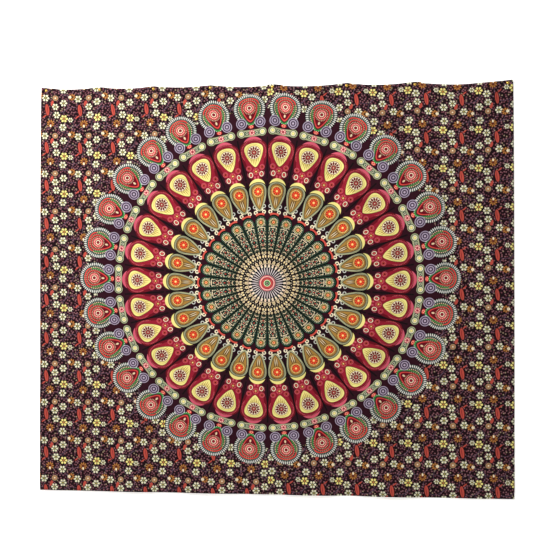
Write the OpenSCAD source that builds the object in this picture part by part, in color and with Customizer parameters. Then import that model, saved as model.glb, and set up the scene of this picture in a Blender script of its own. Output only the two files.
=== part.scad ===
// Printed cotton wall hanging: a hemmed sheet held to a wall by a row of brass thumb tacks.
// Origin: where the fifth tack's needle enters the wall, on the hanging's centre line.
// +X runs to the viewer's right, +Y runs into the wall, +Z is up. Millimetres.

/* [Cloth] */
// Width of the finished hanging
cloth_w = 1500; // [700:10:2400]
// Height of the finished hanging
cloth_h = 1300; // [600:10:2300]
// Thickness of the printed cloth
cloth_t = 0.6; // [0.3:0.1:1.5]

/* [Hems] */
// Width of the strip turned to the back along each edge
hem_w = 20; // [16:1:40]
// Thickness of the turned strip, which is folded double
hem_t = 1.2; // [0.6:0.1:3]
// Distance from the strip's inner fold to the row of stitches
stitch_in = 3; // [1.5:0.5:5]
// Width of the sewing thread as it lies on the cloth
thread_w = 0.5; // [0.3:0.1:1]
// How far the sewing thread stands proud of the cloth
thread_t = 0.3; // [0.1:0.1:0.6]

/* [Tacks] */
// Distance from each end tack to the side edge
end_inset = 15; // [10:1:60]
// Radius of a tack's cap
cap_r = 5; // [4:0.5:6]
// Height of a tack's cap
cap_h = 2.4; // [1.8:0.1:3.5]
// Wall of a tack's cap
cap_wall = 0.5; // [0.3:0.1:0.8]
// Radius of the shoulder that joins a needle to its cap
neck_r = 0.8; // [0.7:0.1:1.2]
// Radius of the needle in the wall
needle_r = 0.5; // [0.3:0.05:0.6]
// Length of the needle's straight part in the wall
needle_len = 7; // [5:0.5:14]
// Length of the needle's sharp point
tip_len = 1.6; // [1:0.1:3]
// Room round a needle's shoulder in the cloth
hole_clear = 0.08; // [0.03:0.01:0.1]
// Room between a cap's rim and the cloth
seat_gap = 0.2; // [0.1:0.1:0.5]

/* [Free edge] */
// Height of the band that the tacks hold flat to the wall
band_h = 210; // [120:10:400]
// Gap where the loose cloth below starts to lift away
lift_gap = 2; // [1.5:0.1:4]

/* [Hidden] */
$fn = 64;
CLOTH = "#420B28";
HEM = "#2E0A16";
THREAD = "#5A1C2C";
BRASS = "#C9A24A";
STEEL = "#B8BCC0";

// Where each tack stands along the top, from -1 at the left end tack to 1 at the right one
tack_at = [-1, -0.76, -0.52, -0.27, 0, 0.32, 0.61, 1];
tack_span = cloth_w / 2 - end_inset;

// The tack line halves the hem between the top edge and the stitches
stitch_line = hem_w - stitch_in;
top_z = stitch_line / 2;
bottom_z = top_z - cloth_h;
band_z = top_z - band_h;
lower_z = band_z - lift_gap;

// Layers from the wall outwards, along -Y: turned hem, cloth, thread
cloth_back = -hem_t;
cloth_front = cloth_back - cloth_t;
cap_rim = cloth_front - seat_gap;
cap_inside = cap_h - cap_wall;

// A cap is a shallow piece of a ball whose edge has the cap's radius
function ball_r(r, h) = (r * r + h * h) / (2 * h);

// A flat panel from (x0, z0) to (x1, z1) whose back is at y_back
module panel(x0, x1, z0, z1, y_back, thick) {
    translate([x0, y_back - thick, z0]) cube([x1 - x0, thick, z1 - z0]);
}

// One hole for each needle's shoulder, right through the layers at the top
module tack_holes() {
    for (share = tack_at)
        translate([share * tack_span, 1, 0])
            rotate([90, 0, 0])
                cylinder(r = neck_r + hole_clear, h = hem_t + cloth_t + 2);
}

// The band of printed cloth that the tacks hold
module cloth_upper() {
    color(CLOTH)
        difference() {
            panel(-cloth_w / 2, cloth_w / 2, band_z, top_z, cloth_back, cloth_t);
            tack_holes();
        }
}

// The printed cloth that hangs loose below the band
module cloth_lower() {
    color(CLOTH) panel(-cloth_w / 2, cloth_w / 2, bottom_z, lower_z, cloth_back, cloth_t);
}

module hem_top() {
    color(HEM)
        difference() {
            panel(-cloth_w / 2, cloth_w / 2, top_z - hem_w, top_z, 0, hem_t);
            tack_holes();
        }
}

module hem_bottom() {
    color(HEM) panel(-cloth_w / 2, cloth_w / 2, bottom_z, bottom_z + hem_w, 0, hem_t);
}

// A side hem between two heights: side is -1 on the left and 1 on the right
module side_hem(side, z0, z1) {
    edge = side * cloth_w / 2;
    inner = edge - side * hem_w;
    color(HEM) panel(min(edge, inner), max(edge, inner), z0, z1, 0, hem_t);
}

// A level row of stitches centred at height z, which stops short of the side rows
module level_stitches(z) {
    half = cloth_w / 2 - stitch_line - thread_w;
    color(THREAD) panel(-half, half, z - thread_w / 2, z + thread_w / 2, cloth_front, thread_t);
}

// An upright row of stitches beside one edge
module side_stitches(side, z0, z1) {
    x = side * (cloth_w / 2 - stitch_line);
    color(THREAD) panel(x - thread_w / 2, x + thread_w / 2, z0, z1, cloth_front, thread_t);
}

// A domed brass cap with a thin wall, its rim on the cloth
module tack_cap(i) {
    outer = ball_r(cap_r, cap_h);
    inner = ball_r(cap_r - cap_wall, cap_inside);
    color(BRASS)
        translate([tack_at[i - 1] * tack_span, cap_rim, 0])
            rotate([90, 0, 0])
                difference() {
                    intersection() {
                        translate([0, 0, cap_h - outer]) sphere(r = outer);
                        cylinder(r = cap_r, h = cap_h + 1);
                    }
                    intersection() {
                        translate([0, 0, cap_inside - inner]) sphere(r = inner);
                        translate([0, 0, -1]) cylinder(r = cap_r - cap_wall, h = cap_h + 1);
                    }
                }
}

// A steel needle: its head under the cap's dome, a shoulder through the cloth, a point in the wall
module tack_needle(i) {
    head_y = cap_rim - cap_inside;
    color(STEEL)
        translate([tack_at[i - 1] * tack_span, 0, 0])
            rotate([-90, 0, 0]) {
                translate([0, 0, head_y]) cylinder(r = neck_r, h = -head_y);
                cylinder(r = needle_r, h = needle_len);
                translate([0, 0, needle_len]) cylinder(r1 = needle_r, r2 = 0, h = tip_len);
            }
}

side_top = top_z - hem_w;
side_bottom = bottom_z + hem_w;
top_row = top_z - stitch_line;
bottom_row = bottom_z + stitch_line;

cloth_upper();
cloth_lower();
hem_top();
hem_bottom();
side_hem(-1, band_z, side_top);  // hem_left_upper
side_hem(-1, side_bottom, lower_z);  // hem_left_lower
side_hem(1, band_z, side_top);  // hem_right_upper
side_hem(1, side_bottom, lower_z);  // hem_right_lower
level_stitches(top_row);  // stitch_top
level_stitches(bottom_row);  // stitch_bottom
side_stitches(-1, band_z, top_row);  // stitch_left_upper
side_stitches(-1, bottom_row, lower_z);  // stitch_left_lower
side_stitches(1, band_z, top_row);  // stitch_right_upper
side_stitches(1, bottom_row, lower_z);  // stitch_right_lower
for (i = [1:len(tack_at)]) {
    tack_cap(i);
    tack_needle(i);
}
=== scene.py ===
import math

import bmesh
import bpy
import numpy as np
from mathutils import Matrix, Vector


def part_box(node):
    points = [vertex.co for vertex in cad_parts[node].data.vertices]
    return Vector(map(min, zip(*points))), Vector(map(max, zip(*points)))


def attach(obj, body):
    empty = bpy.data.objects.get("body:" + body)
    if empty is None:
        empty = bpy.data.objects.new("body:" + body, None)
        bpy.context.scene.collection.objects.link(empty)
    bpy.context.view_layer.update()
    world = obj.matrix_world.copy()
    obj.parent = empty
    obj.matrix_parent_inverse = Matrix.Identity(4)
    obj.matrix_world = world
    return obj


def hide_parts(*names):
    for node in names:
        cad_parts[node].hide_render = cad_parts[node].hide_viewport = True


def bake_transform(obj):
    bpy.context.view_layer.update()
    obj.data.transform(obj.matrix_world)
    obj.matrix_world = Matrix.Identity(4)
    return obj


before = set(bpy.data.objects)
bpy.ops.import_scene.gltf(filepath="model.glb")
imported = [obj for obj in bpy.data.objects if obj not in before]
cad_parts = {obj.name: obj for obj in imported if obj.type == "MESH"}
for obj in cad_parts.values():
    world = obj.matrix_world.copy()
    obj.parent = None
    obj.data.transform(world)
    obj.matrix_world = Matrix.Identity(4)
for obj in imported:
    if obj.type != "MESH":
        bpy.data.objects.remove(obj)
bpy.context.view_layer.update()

bl_info = {
    "name": "Mandala wall hanging",
    "version": (1, 0, 0),
    "blender": (4, 5, 0),
    "location": "3D View > Sidebar > Hanging",
    "description": "Makes a printed cotton hanging with hems, stitches and brass tacks",
    "category": "Object",
}

MM = 0.001


def count_nodes(prefix):
    """How many numbered parts have a name that starts like this."""
    return sum(1 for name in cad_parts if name.startswith(prefix))


def middle(node):
    """The middle of a part's box."""
    low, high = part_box(node)
    return (low + high) / 2


# Where the cloth, its hem and its tacks are, in metres
UPPER_LOW, UPPER_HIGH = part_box("cloth_upper")
BOTTOM_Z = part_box("cloth_lower")[0].z
CLOTH_W = UPPER_HIGH.x - UPPER_LOW.x
CLOTH_H = UPPER_HIGH.z - BOTTOM_Z
CLOTH_T = UPPER_HIGH.y - UPPER_LOW.y
CLOTH_Y = (UPPER_HIGH.y + UPPER_LOW.y) / 2
TOP_Z = UPPER_HIGH.z
HEM_LOW, HEM_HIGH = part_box("hem_top")
HEM_W = HEM_HIGH.z - HEM_LOW.z
HEM_T = HEM_HIGH.y - HEM_LOW.y
STITCH_IN = TOP_Z - middle("stitch_top").z
TACKS = count_nodes("tack_cap_")
TACK_X = [middle(f"tack_cap_{i}").x for i in range(1, TACKS + 1)]


# ---------------------------------------------------------------- settings


def linear(text):
    """A colour written as six hexadecimal digits, as the linear values a shader takes."""
    parts = [int(text[i:i + 2], 16) / 255 for i in (0, 2, 4)]
    return [v / 12.92 if v <= 0.04045 else ((v + 0.055) / 1.055) ** 2.4 for v in parts]


def ink(name, description, text):
    """A colour that a user may change."""
    return bpy.props.FloatVectorProperty(
        name=name, description=description, subtype="COLOR", size=3, min=0, max=1,
        default=linear(text))


def length(name, description, value):
    """A length in metres that a user may change."""
    return bpy.props.FloatProperty(
        name=name, description=description, default=value, unit="LENGTH", min=0, precision=5)


class ClothSettings(bpy.types.PropertyGroup):
    """How the sheet hangs."""

    slack: bpy.props.FloatProperty(
        name="Slack", description="Share of spare cloth between the tacks", default=0.012,
        min=0, max=0.04)
    sag: bpy.props.FloatProperty(
        name="Sag", description="How far the top edge droops, as a share of the way between tacks",
        default=0.034, min=0, max=0.15)
    sag_reach: length("Sag reach", "How far down the droop dies away", 0.24)
    fold_limit: length("Fold limit", "Furthest a fold stands off the wall", 12 * MM)
    cell: length("Cell", "Size of a cell of the cloth while it settles", 13.6 * MM)
    settle_steps: bpy.props.IntProperty(
        name="Settling steps", description="Steps in which the cloth comes to rest", default=70,
        min=10, max=200)
    lift_zone: length("Lifting zone", "Height over which the loose cloth bends away", 0.3)


class StitchSettings(bpy.types.PropertyGroup):
    """The rows of sewing."""

    pitch: length("Pitch", "Distance from one stitch to the next", 3.2 * MM)
    stitch: length("Stitch", "Length of a stitch on the surface", 2.5 * MM)
    thread: length("Thread", "Width of the thread", 0.5 * MM)


class TackSettings(bpy.types.PropertyGroup):
    """The shape of a brass cap."""

    rim: length("Rim", "Radius of the rolled rim", 0.42 * MM)
    wall: length("Wall", "Thickness of the cap", 0.45 * MM)
    sides: bpy.props.IntProperty(
        name="Sides", description="Faces round a cap", default=56, min=24, max=96)


class PrintSettings(bpy.types.PropertyGroup):
    """Where the print lies on the cloth, and its inks."""

    centre_x: length("Centre from left", "From the left edge to the mandala's centre", 0.735)
    centre_z: length("Centre from bottom", "From the bottom edge to the mandala's centre", 0.686)
    night: ink("Night", "Ground of the flowered field", "17040A")
    wine: ink("Wine", "Ground between the mandala's motifs", "2A0614")
    black: ink("Black", "Outlines and shadows", "0C0205")
    salmon: ink("Salmon", "Leaves of the field, and caps", "CC5244")
    cream: ink("Cream", "Petals and beads", "EEE4C4")
    olive: ink("Olive", "Flower centres and leaf veins", "8E8A42")
    amber: ink("Amber", "Palmettes", "AC7038")
    mauve: ink("Mauve", "Small dots of the field", "84565E")
    stem: ink("Stem", "Stems of the field", "5E4A5C")
    crimson: ink("Crimson", "Large petals", "8E1A2C")
    garnet: ink("Garnet", "Borders of the large petals", "640A1A")
    lemon: ink("Lemon", "Drops in the large petals, and crescents", "EADC86")
    rose: ink("Rose", "Outer crescents", "C85468")
    sage: ink("Sage", "Bars under the medallions", "A2A480")
    lilac: ink("Lilac", "Paired discs", "6C6076")
    pearl: ink("Pearl", "Rings in the paired discs", "B0A0B4")
    silver: ink("Silver", "Dashes round the medallions", "D2D4CC")
    slate: ink("Slate", "Ground of the dashes", "2A1C28")
    teal: ink("Teal", "Thin line in the medallions", "3A6058")
    tan: ink("Tan", "Ring in the medallions", "94806A")
    coral: ink("Coral", "Heart of the medallions", "D2403A")
    green: ink("Green", "Pointed line in the medallions", "2C9A40")
    gold: ink("Gold", "Olive drops", "9C7636")
    fire: ink("Fire", "Hearts of the olive drops", "E8502A")
    pine: ink("Pine", "Inner petals", "284C3A")
    moss: ink("Moss", "Ground of the inner petals", "10221A")
    jade: ink("Jade", "Pale green beads of the inner petals", "9AAE96")
    straw: ink("Straw", "Petals of the field", "DEDABC")
    leaf: ink("Leaf", "Leaves and buds of the field", "B2483C")
    dusk: ink("Dusk", "Darker small dots of the field", "6C3C46")
    mist: ink("Mist", "Spokes round the centre", "DCD0D0")
    umber: ink("Umber", "Ground of the ring in the medallions", "40302A")
    sand: ink("Sand", "Ring of blocks round the centre", "DCC4A0")
    back_share: bpy.props.FloatProperty(
        name="Show-through", description="How much of the print shows on the back",
        default=0.62, min=0, max=1)


class StageSettings(bpy.types.PropertyGroup):
    """The camera and the lights."""

    distance: length("Camera distance", "From the camera to the cloth", 3.0)
    view_height: length("View height", "Height that the camera takes in at the cloth", 1.747)
    aim_x: bpy.props.FloatProperty(
        name="Aim across", description="Point the camera looks at, across", default=0.01,
        unit="LENGTH", min=-1, max=1)
    aim_z: bpy.props.FloatProperty(
        name="Aim height", description="Point the camera looks at, in height", default=-0.598,
        unit="LENGTH", min=-2, max=1)
    azimuth: bpy.props.FloatProperty(
        name="Azimuth", description="How far the camera stands to the right",
        default=math.radians(4.9), unit="ROTATION", min=-1, max=1)
    floor_drop: length("Floor drop", "From the bottom edge to the floor", 0.55)
    key_power: bpy.props.FloatProperty(
        name="Key light", description="Power of the main light, in watts", default=82, min=0)
    fill_power: bpy.props.FloatProperty(
        name="Fill light", description="Power of the side light, in watts", default=9, min=0)


SETTINGS = {
    "hanging_cloth": ClothSettings,
    "hanging_stitches": StitchSettings,
    "hanging_tacks": TackSettings,
    "hanging_print": PrintSettings,
    "hanging_stage": StageSettings,
}


# ---------------------------------------------------------------- node helpers


class Nodes:
    """Adds nodes to one tree, in the order in which their values are used."""

    def __init__(self, tree):
        self.tree = tree

    def add(self, kind, inputs=(), **settings):
        """A node with its settings made and its inputs linked or set."""
        node = self.tree.nodes.new(kind)
        for key, value in settings.items():
            setattr(node, key, value)
        pairs = inputs.items() if isinstance(inputs, dict) else enumerate(inputs)
        for key, value in pairs:
            self.put(node.inputs[key], value)
        return node

    def put(self, socket, value):
        """Links a socket to the input, or sets the input's own value."""
        if isinstance(value, bpy.types.NodeSocket):
            self.tree.links.new(value, socket)
        elif value is not None:
            if socket.type == "RGBA" and len(value) == 3:
                value = (*value, 1.0)
            socket.default_value = value

    def math(self, operation, *values, clamp=False):
        """One step of arithmetic on numbers."""
        return self.add("ShaderNodeMath", values, operation=operation, use_clamp=clamp).outputs[0]

    def vector(self, operation, *values):
        """One step of arithmetic on vectors; LENGTH gives a number."""
        node = self.add("ShaderNodeVectorMath", values, operation=operation)
        return node.outputs["Value" if operation == "LENGTH" else "Vector"]

    def split(self, vector):
        """The parts of a vector."""
        node = self.add("ShaderNodeSeparateXYZ", [vector])
        return node.outputs[0], node.outputs[1]

    def join(self, x, y, z=0.0):
        """A vector from its parts."""
        return self.add("ShaderNodeCombineXYZ", [x, y, z]).outputs[0]

    def mix(self, share, under, over, blend="MIX"):
        """One colour over another."""
        node = self.add("ShaderNodeMix", data_type="RGBA", blend_type=blend)
        self.put(node.inputs["Factor"], share)
        self.put(node.inputs[6], under)
        self.put(node.inputs[7], over)
        return node.outputs[2]

    def use(self, group, **inputs):
        """An instance of a node group; underscores in input names stand for spaces."""
        node = self.tree.nodes.new("ShaderNodeGroup")
        node.node_tree = group
        for key, value in inputs.items():
            self.put(node.inputs[key.replace("_", " ")], value)
        return node


def new_group(name, inputs, outputs):
    """An empty shader node group with its sockets, and its input and output nodes."""
    tree = bpy.data.node_groups.new(name, "ShaderNodeTree")
    for direction, sockets in (("INPUT", inputs), ("OUTPUT", outputs)):
        for socket, kind in sockets:
            tree.interface.new_socket(socket, in_out=direction, socket_type=f"NodeSocket{kind}")
    return Nodes(tree), tree.nodes.new("NodeGroupInput").outputs


def close_group(n, *results):
    """Links a group's results to its outputs, and gives the finished group."""
    n.add("NodeGroupOutput", results)
    return n.tree


# ---------------------------------------------------------------- shapes of ink

EDGE = 0.7  # softness of a printed edge, in millimetres like every size of the print
FOLD = 30   # how many times the mandala repeats round its centre


def covers(n, size, distance):
    """1 inside a size and 0 outside it, with the print's soft edge between."""
    gap = n.math("SUBTRACT", size, distance)
    return n.math("MULTIPLY_ADD", gap, 1 / EDGE, 0.5, clamp=True)


def oval_group():
    """A filled oval."""
    n, given = new_group(
        "Oval",
        [("Place", "Vector"), ("Centre", "Vector"), ("Radii", "Vector"), ("Least", "Float")],
        [("Mask", "Float")])
    away = n.vector("SUBTRACT", given["Place"], given["Centre"])
    share = n.vector("LENGTH", n.vector("DIVIDE", away, given["Radii"]))
    return close_group(n, covers(n, given["Least"], n.math("MULTIPLY", share, given["Least"])))


def ring_group():
    """A round line."""
    n, given = new_group(
        "Ring", [("Place", "Vector"), ("Centre", "Vector"), ("Radius", "Float"), ("Half", "Float")],
        [("Mask", "Float")])
    reach = n.vector("LENGTH", n.vector("SUBTRACT", given["Place"], given["Centre"]))
    off = n.math("ABSOLUTE", n.math("SUBTRACT", reach, given["Radius"]))
    return close_group(n, covers(n, given["Half"], off))


def drop_group():
    """A drop that widens from its tip to a round end."""
    n, given = new_group(
        "Drop",
        [("Place", "Vector"), ("Tip", "Float"), ("Length", "Float"), ("Half", "Float"),
         ("Taper", "Float"), ("Round", "Float")],
        [("Mask", "Float")])
    along, across = n.split(given["Place"])
    start = n.math("SUBTRACT", along, given["Tip"])
    share = n.math("DIVIDE", start, given["Length"], clamp=True)
    end = n.math("SUBTRACT", 1.0, n.math("POWER", share, given["Round"]), clamp=True)
    width = n.math("MULTIPLY", n.math("POWER", share, given["Taper"]), n.math("SQRT", end))
    room = n.math("MULTIPLY_ADD", width, given["Half"], n.math("MULTIPLY", across, -1.0))
    return close_group(n, n.math("MULTIPLY", room, 1 / EDGE, clamp=True))


def beads_group():
    """Beads or petals set round a circle."""
    n, given = new_group(
        "Beads",
        [("Place", "Vector"), ("Centre", "Vector"), ("Radius", "Float"), ("Bead", "Float"),
         ("Stretch", "Float"), ("Count", "Float")],
        [("Mask", "Float")])
    away = n.vector("SUBTRACT", given["Place"], given["Centre"])
    x, y = n.split(away)
    turn = n.math("MULTIPLY", n.math("ARCTAN2", y, x), given["Count"])
    part = n.math("FRACT", n.math("MULTIPLY_ADD", turn, 0.5 / math.pi, 0.5))
    step = n.math("DIVIDE", given["Radius"], given["Count"])
    arc = n.math("MULTIPLY", n.math("SUBTRACT", part, 0.5), n.math("MULTIPLY", step, 2 * math.pi))
    out = n.math("SUBTRACT", n.vector("LENGTH", away), given["Radius"])
    reach = n.vector("LENGTH", n.join(arc, n.math("DIVIDE", out, given["Stretch"])))
    return close_group(n, covers(n, given["Bead"], reach))


def bar_group():
    """A bar with rounded corners."""
    n, given = new_group(
        "Bar", [("Place", "Vector"), ("Centre", "Vector"), ("Half", "Vector"), ("Corner", "Float")],
        [("Mask", "Float")])
    away = n.vector("ABSOLUTE", n.vector("SUBTRACT", given["Place"], given["Centre"]))
    past = n.vector("MAXIMUM", n.vector("SUBTRACT", away, given["Half"]), (0, 0, 0))
    return close_group(n, covers(n, given["Corner"], n.vector("LENGTH", past)))


def gap_group():
    """The line between one motif and the next, over a stretch of the way outwards."""
    n, given = new_group(
        "Gap", [("Place", "Vector"), ("Half", "Float"), ("From", "Float"), ("To", "Float")],
        [("Mask", "Float")])
    along, across = n.split(given["Place"])
    room = n.math("MULTIPLY_ADD", along, math.tan(math.pi / FOLD), n.math("MULTIPLY", across, -1.0))
    line = covers(n, given["Half"], room)
    line = n.math("MULTIPLY", line, covers(n, along, given["From"]))
    return close_group(n, n.math("MULTIPLY", line, covers(n, given["To"], along)))


class Printer:
    """Prints one shape of ink over another, in millimetres.

    a and b say where a shape's middle is. In a motif they run outwards from the mandala's centre
    and away from the motif's middle line, and in the field they run across and up.
    """

    def __init__(self, n, shapes, ground):
        self.n = n
        self.shapes = shapes
        self.colour = ground
        self.place = None

    def stamp(self, shape, colour, **inputs):
        """One shape in one ink."""
        mask = self.n.use(self.shapes[shape], Place=self.place, **inputs).outputs[0]
        self.colour = self.n.mix(mask, self.colour, colour)

    def oval(self, colour, a, b, along, across=None):
        """A filled oval with its half length each way, or a round spot."""
        across = along if across is None else across
        self.stamp("Oval", colour, Centre=(a, b, 0), Radii=(along, across, 1),
                   Least=min(along, across))

    def ring(self, colour, a, b, radius, half):
        """A round line, whose width is twice half."""
        self.stamp("Ring", colour, Centre=(a, b, 0), Radius=radius, Half=half)

    def drop(self, colour, tip, end, half, taper=1.0, roundness=4.0):
        """A drop on the motif's middle line. Its greatest width is twice half."""
        widest = (2 * taper / (2 * taper + roundness)) ** (1 / roundness)
        peak = widest ** taper * math.sqrt(1 - widest ** roundness)
        self.stamp("Drop", colour, Tip=tip, Length=end - tip, Half=half / peak, Taper=taper,
                   Round=roundness)

    def beads(self, colour, a, b, radius, bead, count, stretch=1.0):
        """A circle of round beads, or of petals where stretch makes them longer outwards."""
        self.stamp("Beads", colour, Centre=(a, b, 0), Radius=radius, Bead=bead,
                   Stretch=stretch, Count=count)

    def gap(self, colour, half, start, end):
        """The line between two motifs, over a stretch of the way outwards."""
        self.stamp("Gap", colour, Half=half, From=start, To=end)

    def bar(self, colour, a, b, along, across, corner):
        """A bar with rounded corners and its half length each way."""
        self.stamp("Bar", colour, Centre=(a, b, 0), Half=(along - corner, across - corner, 1),
                   Corner=corner)


# ---------------------------------------------------------------- the print

MANDALA_R = 529      # radius of the wine ground
TILE = (104, 120.6)  # the field's repeat, across and up
TILE_AT = (-583, 292)
STRETCH = (1.04, 1.02)  # how far the hung cloth pulls the print out, across and up
HEART_DROP = 17      # how far the mandala's heart is printed below its outer rings' middle


def draw_centre(press, inks, far, turn):
    """The eye of the mandala: rings, spokes and paired blocks."""
    press.place = far
    press.oval(inks.black, 0, 0, 100)
    press.beads(inks.mist, 0, 0, 37.4, 1.2, 36, 11)
    press.beads(inks.cream, 0, 0, 74.5, 1.1, FOLD * 2)
    press.oval(inks.rose, 0, 0, 24.5)
    press.beads(inks.cream, 0, 0, 20.8, 1.5, FOLD)
    press.oval(inks.crimson, 0, 0, 17.6)
    press.ring(inks.salmon, 0, 0, 13.8, 1.5)
    press.oval(inks.cream, 0, 0, 10.4)
    press.oval(inks.green, 0, 0, 8.6)
    press.oval(inks.moss, 0, 0, 6)
    press.beads(inks.cream, 0, 0, 3.6, 1, 6)
    press.place = turn
    press.oval(inks.cream, 54, 0, 5.4, 2.9)
    press.oval(inks.rose, 55, 0, 2.4, 0.9)
    press.oval(inks.sand, 60.5, 4.2, 1.8, 1.1)
    press.oval(inks.sand, 66, 0, 5.4, 4.2)
    press.oval(inks.olive, 66, 0, 2.8, 1.6)
    press.oval(inks.sand, 83.2, 3.8, 4.6, 2.6)
    press.oval(inks.lemon, 83, 3.7, 2.2, 1.2)
    press.oval(inks.sand, 94.2, 4.3, 4, 3)
    press.oval(inks.olive, 94, 4.1, 1.8, 1.4)
    press.oval(inks.cream, 89, 0, 1.8)


def draw_inner_petals(press, n, inks, turn):
    """The ring of long green petals, full of small beads."""
    press.bar(inks.salmon, 212, 0, 4, 13.6, 2.5)
    press.oval(inks.black, 202, 0, 9.6, 14)
    press.drop(inks.pine, 60, 207, 18.4, taper=0.8, roundness=9)
    beads = speckle(n, turn, 5.2, 0.31, inks.moss, (inks.sand, inks.jade, inks.cream))
    press.drop(beads, 62, 204, 16, taper=0.8, roundness=9)
    for a in (118, 132, 146, 160):
        press.oval(inks.moss, a, 0, 5, 2.6)
        press.oval(inks.coral, a, 0, 2.4, 1.3)
    press.gap(inks.pine, 4, 100, 186)
    press.gap(inks.black, 2.4, 98, 192)
    press.oval(inks.moss, 188, 0, 13.6, 14)
    press.beads(inks.cream, 188, 0, 12, 1.4, 16)
    press.beads(inks.lemon, 188, 0, 8.8, 1.4, 12)
    press.oval(inks.coral, 188, 0, 5.4)
    press.beads(inks.lemon, 188, 0, 3.6, 1.2, 6)
    press.oval(inks.fire, 188, 0, 2)


def draw_gold_drops(press, inks):
    """The ring of olive drops with fiery hearts, each on a cream bow."""
    press.oval(inks.cream, 219, 13.2, 5.9)
    press.oval(inks.slate, 219, 13.2, 2.7)
    press.oval(inks.cream, 229.5, 6.6, 5.8, 5.2)
    press.oval(inks.garnet, 229.5, 6.6, 2.4)
    press.ring(inks.silver, 236, 15, 4.6, 1)
    press.oval(inks.lemon, 296.4, 0, 25, 25.4)
    press.oval(inks.black, 287.5, 0, 24, 30.5)
    press.drop(inks.sage, 222, 309.5, 27.2, taper=0.55, roundness=5)
    press.beads(inks.umber, 282.5, 0, 24.8, 1.1, 40)
    press.gap(inks.black, 2.2, 220, 312)
    press.drop(inks.umber, 227, 305.5, 22.4, taper=0.6, roundness=5)
    press.drop(inks.gold, 229, 303.5, 20.4, taper=0.65, roundness=5)
    press.oval(inks.umber, 254, 0, 15, 1.1)
    press.oval(inks.umber, 256, 5.4, 14, 1.1)
    press.oval(inks.cream, 250, 2.8, 10, 0.8)
    press.beads(inks.moss, 282.5, 0, 19.2, 1, 26)
    press.oval(inks.amber, 283, 0, 17.2)
    press.beads(inks.lemon, 282.5, 0, 14.4, 1.3, 20)
    press.oval(inks.garnet, 282.5, 0, 12)
    press.beads(inks.fire, 282.5, 0, 8.4, 2.3, 9, 1.6)
    press.oval(inks.fire, 282.5, 0, 5.4)
    press.oval(inks.lemon, 282.5, 0, 3)


def draw_crimson_petals(press, inks):
    """The ring of large crimson petals with lemon drops, and the small rings before it."""
    press.oval(inks.rose, 413, 0, 37.5, 34)
    press.oval(inks.black, 404, 0, 38, 41)
    press.oval(inks.rose, 337, 14, 12, 13)
    press.oval(inks.garnet, 337, 14, 11, 12)
    press.drop(inks.garnet, 300, 441, 42.5, taper=0.6, roundness=7)
    press.beads(inks.rose, 403, 0, 36.4, 0.7, 60, 3.2)
    press.beads(inks.salmon, 403, 0, 37.6, 1, 46)
    press.gap(inks.black, 2.2, 318, 442)
    press.drop(inks.crimson, 312, 435, 33.6, taper=0.6, roundness=6)
    press.oval(inks.cream, 334.5, 16.6, 8, 6.4)
    press.oval(inks.crimson, 334.5, 16.6, 5.8, 4.5)
    press.oval(inks.salmon, 334.5, 16.6, 3.2, 2.2)
    press.oval(inks.garnet, 355, 20.5, 7.6)
    press.ring(inks.rose, 355, 20.5, 7.2, 0.7)
    press.beads(inks.salmon, 355, 20.5, 4.4, 1.5, 7)
    press.oval(inks.garnet, 344, 0, 9.2)
    press.ring(inks.rose, 344, 0, 9, 0.7)
    press.beads(inks.salmon, 344, 0, 5.6, 2.2, 6)
    press.oval(inks.lemon, 344, 0, 2.2)
    press.oval(inks.rose, 325, 5, 5, 2.2)
    press.drop(inks.garnet, 355, 432.5, 31, taper=0.62, roundness=5)
    press.drop(inks.lemon, 357.5, 430.5, 29, taper=0.64, roundness=5)
    press.beads(inks.olive, 402, 0, 24.6, 0.7, 44, 2.6)
    press.oval(inks.gold, 374, 0, 10, 1)
    press.oval(inks.gold, 377, 5.4, 9, 0.9)
    press.oval(inks.gold, 380, 11, 8, 0.9)
    press.oval(inks.garnet, 402, 0, 20.6)
    press.oval(inks.cream, 402, 0, 19)
    press.beads(inks.garnet, 402, 0, 12.4, 2.8, 12, 2)
    press.oval(inks.garnet, 402, 0, 7.6)
    press.beads(inks.salmon, 402, 0, 4.4, 1.2, 7)
    press.oval(inks.cream, 402, 0, 1.6)


def draw_bars(press, inks):
    """The sage bars and the paired lilac discs that carry the medallions."""
    press.bar(inks.sage, 461, 0, 9.8, 41, 9.6)
    press.oval(inks.sage, 461, 32, 12.2, 13)
    press.ring(inks.pine, 461, 32, 9.4, 0.9)
    press.ring(inks.cream, 461, 32, 6.4, 0.9)
    press.oval(inks.lemon, 461, 32, 3.8)
    press.bar(inks.pine, 461, 15, 5.6, 6.4, 3)
    press.beads(inks.cream, 461, 15, 3.2, 1.2, 5)
    press.oval(inks.rose, 462, 0, 8.6, 9)
    press.beads(inks.cream, 462, 0, 5.4, 1.5, 6)
    press.oval(inks.crimson, 462, 0, 2.6)
    press.oval(inks.lilac, 491, 28.3, 16.4)
    press.ring(inks.pearl, 491, 28.3, 15.2, 0.8)
    press.ring(inks.slate, 491, 28.3, 12, 1)
    press.ring(inks.pearl, 491, 28.3, 8.8, 1)
    press.oval(inks.slate, 491, 28.3, 6)
    press.oval(inks.pearl, 491, 28.3, 3.4)
    press.oval(inks.coral, 480, 0, 5, 8)
    press.beads(inks.cream, 480, 0, 3.6, 1, 5)


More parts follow.
